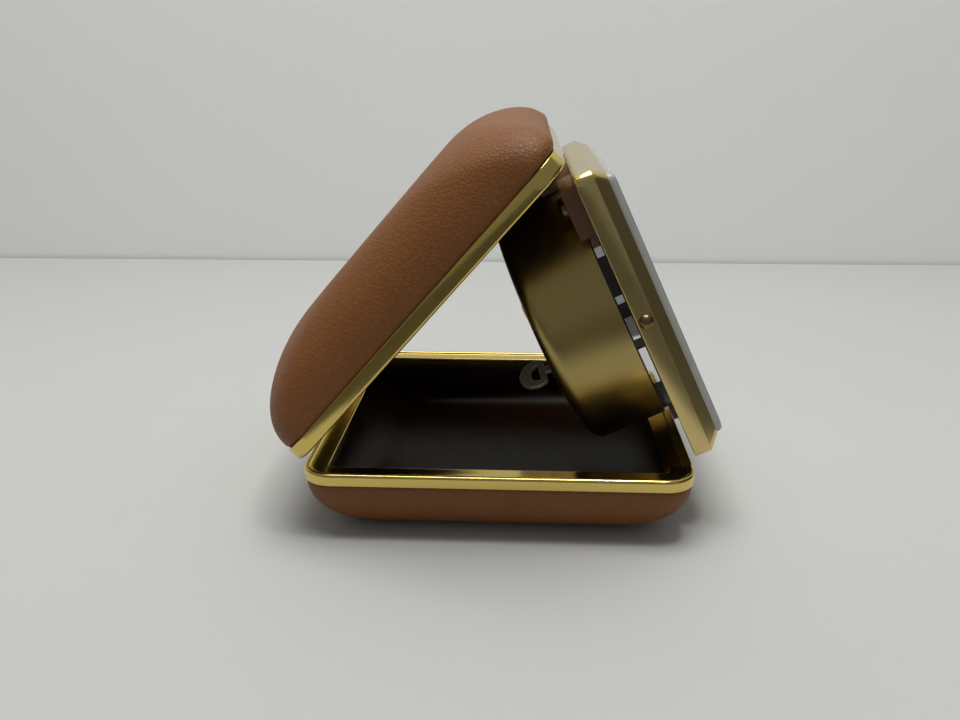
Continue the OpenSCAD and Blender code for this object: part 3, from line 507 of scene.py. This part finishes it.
# ---- case: leather skins, liners and brass rims ----
piece("base_cover", "base", LEATHER_SKIN,
      [patch(swept(dished(0, LEATHER, BASE_CURVE, SHELL_H, 0.3, tuck=0.3)), caps=BOTH, place=in_base)],
      ["base_leather"])
piece("lid_cover", "lid", LEATHER_SKIN,
      [patch(swept(dished(0, LEATHER, LID_CURVE, LID_RISE, 1.15, tuck=0.3)), caps=BOTH,
             place=lambda p: in_lid(full_ends(p)))],
      ["lid_leather"])
piece("base_liner", "base", LINER,
      [patch(swept(dished(LINING_OUT, LINING_IN, BASE_CURVE, SHELL_H, 0.3, BASE_BAND - 1.0), NOTCHED),
             caps=BOTH, place=lambda p: cleared(in_base(p), 0.55))],
      ["base_lining"])
piece("lid_liner", "lid", LINER,
      [patch(swept(dished(LINING_OUT, LINING_IN, LID_CURVE, LID_RISE, 1.15, LID_BAND - 1.0)),
             caps=BOTH, place=in_lid)],
      ["lid_lining"])


def base_rim():
    """Base rim: its section hung below the parting plane, its front part lowered onto the swing path."""
    profile, under = rim_profile(BASE_BAND)
    grid = swept(rim_rows(profile), NOTCHED)
    grid[..., 2] = PART_Z - grid[..., 2]
    return np.where(under[:, None, None], cleared(grid, 0.5), cleared(grid))


def lid_rim():
    """Lid rim: its section above the parting plane, its lip cut back where the clock hinge passes."""
    profile, _ = rim_profile(LID_BAND)
    grid = swept(rim_rows(profile), NOTCHED)
    deep = (np.abs(grid[..., 0]) < NOTCH_X) & (grid[..., 1] > NOTCH_IN - HALF) & (grid[..., 1] < 0)
    grid[..., 1] = np.where(deep, NOTCH_IN - HALF, grid[..., 1])
    grid[..., 2] = PART_Z + np.where(deep, np.minimum(grid[..., 2], NOTCH_UP), grid[..., 2])
    return grid


piece("base_trim", "base", RIM_BRASS,
      [patch(base_rim(), wrap_rows=True)], ["base_rim"], sharp=50)
piece("lid_trim", "lid", RIM_BRASS,
      [patch(lid_rim(), wrap_rows=True, place=on_lid)], ["lid_rim"], sharp=50)


# ---- clock frame and crystal ----
def facing(rows, stations=PLAIN, arc=14):
    """Rows of (half size, corner radius, depth) swept round the dial, in the clock's own axes."""
    g = swept(rows, stations, arc)
    return np.stack([g[..., 0], g[..., 2], g[..., 1]], -1)


SURROUND = [
    (HALF_F - 0.14, FRAME_R, 0.0), (HALF_F - 0.03, FRAME_R, -0.06), (HALF_F, FRAME_R, -0.2),
    (HALF_F, FRAME_R, -BAND_W + 0.14), (HALF_F - 0.04, FRAME_R, -BAND_W + 0.04),
    (HALF_F - 0.12, FRAME_R, -BAND_W - 0.02), (HALF_F - 0.2, FRAME_R, -BAND_W - 0.02),
    (HALF_F - 0.26, FRAME_R, -BAND_W - 0.1), (HALF_F - 0.34, FRAME_R, -BAND_W - 0.24),
    (HALF_F - 1.86, FRAME_R, BEZEL_Y + 0.12), (HALF_F - 2.0, FRAME_R, BEZEL_Y + 0.02),
    (HALF_F - 2.12, FRAME_R, BEZEL_Y), (WINDOW + 0.06, WINDOW_R, BEZEL_Y), (WINDOW, WINDOW_R, BEZEL_Y + 0.08),
    (WINDOW, WINDOW_R, BEZEL_Y + 1.1), (WINDOW - 0.6, 1.1, BEZEL_Y + 1.1), (WINDOW - 0.6, 1.1, BEZEL_Y + 1.6),
    (HALF_F - 0.9, 1.2, -BAND_W + 0.4), (HALF_F - 0.9, 1.2, 0.0)]
piece("frame_surround", "clock", FRAME_BRASS,
      [patch(facing(SURROUND), wrap_rows=True, place=on_clock)], ["bezel_frame"], sharp=50)


def crystal_rows():
    """Crystal: straight edge, an elliptic shoulder, and a face that rises a little to its middle."""
    c, t = WINDOW - 0.06, np.radians(np.linspace(0, 90, 9))
    shoulder = [(c - 1.15 * (1 - math.cos(a)), WINDOW_R, BEZEL_Y - 0.15 - 1.2 * math.sin(a)) for a in t]
    face = [((c - 1.0) * (1 - k), WINDOW_R * (1 - k) + 0.2, GLASS_Y + 0.02 - 0.02 * k)
            for k in (0.1, 0.3, 0.6, 0.85)]
    back = [(c - 0.05, WINDOW_R, BEZEL_Y + 1.1), (c, WINDOW_R, BEZEL_Y + 1.05)]
    inner = [(c * k, WINDOW_R * k, BEZEL_Y + 1.1) for k in (0.15, 0.5, 0.9)]
    return inner + back + shoulder + face


piece("dial_glass", "clock", CRYSTAL,
      [patch(facing(crystal_rows()), caps=BOTH, place=on_clock)], ["crystal"], sharp=60)

# ---- winding keys ----
def wing_ring(n=96):
    """Key wing with a D-shaped hole: rounded section carried round the D. Each D is the nearer of a
    circle and a straight edge along rays from the hole's middle, its corners eased by a high power."""
    a = np.linspace(0, 2 * math.pi, n, endpoint=False)
    ray, mid = np.stack([np.cos(a), np.sin(a)], -1), WING_NECK + 2.1

    def reach(centre, radius, edge):
        off = centre - mid
        round_part = off * ray[:, 0] + np.sqrt(radius ** 2 - (off * ray[:, 1]) ** 2)
        straight = np.where(ray[:, 0] < -1e-6, (mid - edge) / np.maximum(-ray[:, 0], 1e-6), 1e3)
        return (round_part ** -16.0 + straight ** -16.0) ** (-1 / 16.0)

    outer = reach(WING_L - WING_R, WING_R, WING_NECK)
    inner = reach(WING_L - WING_R + WING_EDGE - WING_TIP, WING_R - WING_EDGE, WING_NECK + WING_EDGE)
    half, ease = WING_T / 2, 0.22
    t = np.radians(np.linspace(0, 90, 5))
    corner = np.stack([ease * (1 - np.cos(t)), half - ease + ease * np.sin(t)], -1)
    rows = [(outer - i, h) for i, h in corner] + [(inner + i, h) for i, h in corner[::-1]]
    rows += [(inner + i, -h) for i, h in corner] + [(outer - i, -h) for i, h in corner[::-1]]
    return np.stack([np.stack([mid + r * ray[:, 0], np.full(n, h), r * ray[:, 1]], -1) for r, h in rows])


def wing_neck(n=32):
    """Neck of a wing: rounded oblong sections from the knuckle's round end to inside the wing."""
    a = np.linspace(0, 2 * math.pi, n, endpoint=False)
    round_xy = np.stack([np.cos(a), np.sin(a)], -1)
    oblong = np.sign(round_xy) * np.abs(round_xy) ** 0.35
    rows = []
    for u in np.r_[-KNUCKLE_R * np.cos(np.linspace(0.12, 1.5, 9)), np.linspace(0.1, WING_NECK + 0.6, 12)]:
        thick = max(math.sqrt(max(KNUCKLE_R ** 2 - u * u, 0.0)), 0.42 if u > 0 else 0.08)
        rows.append(np.stack([np.full(n, u), oblong[:, 0] * thick, oblong[:, 1] * NECK_HALF], -1))
    return np.stack(rows)


def on_key(side, raised, turn):
    """Carries a wing drawn flat along its own first axis to its key, raised and turned with the key."""
    lift = math.radians(180 - raised if side < 0 else raised)
    spin = math.radians(turn)

    def place(p):
        x = p[..., 0] * math.cos(lift) - p[..., 1] * math.sin(lift)
        y = p[..., 0] * math.sin(lift) + p[..., 1] * math.cos(lift)
        q = np.stack([x * math.cos(spin) + p[..., 2] * math.sin(spin), y,
                      p[..., 2] * math.cos(spin) - x * math.sin(spin)], -1)
        return on_clock(q + [side * KEY_X, WING_Y, KEY_Z])
    return place


for name, side, raised, turn in (("time_key", -1, 90, 62), ("alarm_key", 1, 30, 0)):
    carry = on_key(side, raised, turn)
    piece(name + "_leaf", name + "_wing", NICKEL,
          [patch(wing_ring(), wrap_rows=True, place=carry), patch(wing_neck(), caps=BOTH, place=carry)],
          [name + "_wing"], sharp=35)


# ---- back of the clock: screws, bracket ears and the ring's bright tabs ----
def round_rows(profile, centre, n=40):
    """A profile of (radius, depth) rows carried round an axis along the clock's depth."""
    a = np.linspace(0, 2 * math.pi, n, endpoint=False)
    return np.stack([np.stack([centre[0] + r * np.cos(a), np.full(n, y), centre[1] + r * np.sin(a)], -1)
                     for r, y in profile])


SCREW = [(1.9, 3.2), (2.0, 3.3), (2.0, 3.95), (1.94, 4.1), (1.8, 4.22), (1.4, 4.42), (0.9, 4.56), (0.4, 4.64),
         (0.1, 4.65)]
# painted shade: the screw heads get the darker brass because they sit in the lid's shade
piece("screw_heads", "clock", SHADED_BRASS,
      [patch(round_rows(SCREW, (side * SCREW_X, SCREW_Z)), caps=BOTH, place=on_clock) for side in (-1, 1)],
      ["bracket_screws"])


def ear_loop(side, grow):
    """Outline of a bracket ear: along the drum's curve, then round its square outer corner."""
    a = np.radians(np.linspace(141, 118, 16))
    curve = (EAR_IN - grow) * np.stack([np.cos(a), np.sin(a)], -1)
    top, out, low = EAR_TOP + grow, -EAR_OUT - grow, EAR_LOW - grow
    t = np.radians(np.linspace(90, 180, 8))
    corner = np.stack([out + EAR_R + EAR_R * np.cos(t), top - EAR_R + EAR_R * np.sin(t)], -1)
    loop = np.vstack([curve, [[curve[-1][0] + grow, top]], corner, [[out, low]], [[curve[0][0], low]]])
    return loop * [-side, 1]


def ear(side):
    """A bracket ear: its outline drawn back from the frame, with an eased edge."""
    rows = [(ear_loop(side, g), y) for g, y in ((0, 0.02), (0, 2.9), (-0.08, 3.12), (-0.25, 3.2))]
    return np.stack([np.column_stack([q[:, 0], np.full(len(q), y), q[:, 1]]) for q, y in rows])


piece("bracket_ears", "clock", BRACKET_PAINT,
      [patch(ear(side), caps=BOTH, place=on_clock) for side in (-1, 1)])


def tab(start, end):
    """A thin bright tab on the ring: a section of (height above the ring, depth) carried along an arc."""
    a = np.radians(np.linspace(start, end, max(int(end - start), 4)))
    section = [(0, 0.2), (0.4, 0.2), (0.48, 0.28), (0.48, 1.68), (0.4, 1.76), (0, 1.76)]
    return np.stack([[[(RING_R + h) * math.cos(t), y, (RING_R + h) * math.sin(t)] for h, y in section]
                     for t in a])


TABS = [(138, 151), (167.5, 170.5), (176.5, 186), (190.5, 210)]
TABS += [(180 - b, 180 - a) for a, b in TABS]
piece("ring_tabs", "clock", CHROME,
      [patch(tab(a, b), caps=BOTH, place=on_clock) for a, b in TABS])


# ---- printing on the dial ----
def box_grid(x, z, half_x, half_z, turn, y0, y1):
    """A small block turned about the dial's middle: two rows of corners, front and back."""
    c, s = math.cos(turn), math.sin(turn)
    flat = [(x + u * half_x, z + w * half_z) for u, w in ((-1, -1), (1, -1), (1, 1), (-1, 1))]
    return np.array([[[u * c + w * s, y, w * c - u * s] for u, w in flat] for y in (y0, y1)])


PRINT_Y = (DIAL_Y - PRINT_T, DIAL_Y + PRINT_T)


def minute_mark(i):
    """A minute's mark inside the track, longer and wider at every fifth."""
    middle, half_x, half_z = (0.4, 0.08, 0.4) if i % 5 else (0.6, 0.16, 0.6)
    return box_grid(0, TRACK_R - middle, half_x, half_z, math.radians(6 * i), *PRINT_Y)


track = [patch(minute_mark(i), caps=BOTH, place=on_clock) for i in range(60)]
line = [(TRACK_R, PRINT_Y[1]), (TRACK_R, PRINT_Y[0]),
        (TRACK_R + 0.15, PRINT_Y[0]), (TRACK_R + 0.15, PRINT_Y[1])]
track.append(patch(round_rows(line, (0, 0), 180), wrap_rows=True, place=on_clock))
piece("minute_track", "clock", BLACK_ENAMEL, track, sharp=30)


def numeral(n):
    """Outline of a number as a thin mesh, centred on its place inside the batons."""
    curve = bpy.data.curves.new("number", "FONT")
    curve.body, curve.size, curve.extrude = str(n), NUMBER_SIZE * MM, PRINT_T * MM
    curve.align_x, curve.align_y = "CENTER", "CENTER"
    holder = bpy.data.objects.new("number", curve)
    bpy.context.scene.collection.objects.link(holder)
    mesh = bpy.data.meshes.new_from_object(holder.evaluated_get(bpy.context.evaluated_depsgraph_get()))
    p = np.array([v.co for v in mesh.vertices]) / MM
    faces = [np.array([f.vertices[:]]) for f in mesh.polygons]
    bpy.data.objects.remove(holder)
    bpy.data.curves.remove(curve)
    bpy.data.meshes.remove(mesh)
    middle = (p.min(0) + p.max(0)) / 2
    a = math.radians(30 * n)
    q = np.stack([p[:, 0] - middle[0] + NUMBER_R * math.sin(a), DIAL_Y - p[:, 2],
                  p[:, 1] - middle[1] + NUMBER_R * math.cos(a)], -1)
    return on_clock(q), faces


piece("dial_numbers", "clock", BLACK_ENAMEL, [numeral(n) for n in range(1, 13)], sharp=30)

# ---- painted light on the crystal's edge: a grey half-clear sheet ----
EDGE = [(WINDOW + 0.005, BEZEL_Y + 0.1), (WINDOW + 0.005, BEZEL_Y - 0.2), (WINDOW - 0.06, BEZEL_Y - 0.75),
        (WINDOW - 0.4, BEZEL_Y - 1.2), (WINDOW - 0.5, BEZEL_Y - 1.1), (WINDOW - 0.2, BEZEL_Y - 0.7),
        (WINDOW - 0.15, BEZEL_Y + 0.1)]
piece("crystal_edge", "clock", PAINTED_EDGE_LIGHT,
      [patch(facing([(h, WINDOW_R, y) for h, y in EDGE]), wrap_rows=True, place=on_clock)], sharp=60)

# ---- camera ----
camera = bpy.data.objects.new("camera", bpy.data.cameras.new("camera"))
bpy.context.scene.collection.objects.link(camera)
bpy.context.scene.camera = camera
camera.data.lens, camera.data.sensor_width = 33.245, 36.0
camera.data.clip_start, camera.data.clip_end = 0.005, 20.0
AHEAD = Vector((0.94484, 0.05134, -0.32339)).normalized()
camera.rotation_mode = "QUATERNION"
ROLL = Matrix.Rotation(-0.00405, 3, "Z").to_quaternion()
camera.rotation_quaternion = AHEAD.to_track_quat("-Z", "Y") @ ROLL
camera.location = (-0.18626, -0.00512, 0.08825)


# ---- stage ----
def card(name, centre, u, v, material):
    """A flat four-cornered card about its centre."""
    c, u, v = Vector(centre), Vector(u), Vector(v)
    mesh = bpy.data.meshes.new(name)
    mesh.from_pydata([c - u - v, c + u - v, c + u + v, c - u + v], [], [(0, 1, 2, 3)])
    mesh.materials.append(material)
    obj = bpy.data.objects.new(name, mesh)
    bpy.context.scene.collection.objects.link(obj)
    return obj


def paper(name, colour):
    """Matt pale paper with faint cloudiness."""
    net = Net(name)
    cloud = net.noise(9.0, 3.0, 0.5)
    net.set(Base_Color=net.mix(cloud, rgb(*[c * 0.97 for c in colour]), rgb(*colour)), Roughness=0.9,
            Specular_IOR_Level=0.1)
    return net.material


def plain(name, colour, rough=0.9):
    net = Net(name)
    net.set(Base_Color=rgb(*colour), Roughness=rough, Specular_IOR_Level=0.0)
    return net.material


card("floor", (-0.29, 0, 0), (0.5, 0, 0), (0, 0.9, 0), paper("floor_paper", (0.52, 0.53, 0.523)))
card("wall", (0.2115, 0, 0.35), (0, 0.9, 0), (0, 0, 0.3505), paper("wall_paper", (0.93, 0.945, 0.94)))
SHADE = plain("shade_cloth", (0.085, 0.083, 0.08))
for shade in (card("shade_card", (-0.345, 0, 0.001), (0.24, 0, 0), (0, 0.5, 0), SHADE),
              card("shade_front", (0.05, -0.42, 0.2), (0.35, 0, 0), (0, 0, 0.2), SHADE)):
    shade.visible_camera = shade.visible_diffuse = shade.visible_shadow = shade.visible_transmission = False


def lamp(name, place, aim, size, watts, colour=(1, 1, 1)):
    """Square soft light at a place, aimed at a point."""
    data = bpy.data.lights.new(name, "AREA")
    data.shape, data.size, data.energy, data.color = "SQUARE", size, watts, colour
    obj = bpy.data.objects.new(name, data)
    bpy.context.scene.collection.objects.link(obj)
    obj.location = place
    obj.rotation_mode = "QUATERNION"
    obj.rotation_quaternion = (Vector(aim) - Vector(place)).to_track_quat("-Z", "Y")
    return obj


lamp("overhead", (0.02, 0.05, 0.75), (0.0, 0, 0), 0.42, 4.3, (1.0, 0.985, 0.95))
lamp("spark", (-0.10, -0.12, 0.7), (0, 0, 0), 0.07, 0.6, (1.0, 0.97, 0.92))

world = bpy.data.worlds.new("studio")
bpy.context.scene.world = world
world.use_nodes = True
world.node_tree.nodes["Background"].inputs["Color"].default_value = (0.80, 0.81, 0.80, 1)
world.node_tree.nodes["Background"].inputs["Strength"].default_value = 0.27

view = bpy.context.scene.view_settings
view.view_transform, view.look = "Standard", "None"
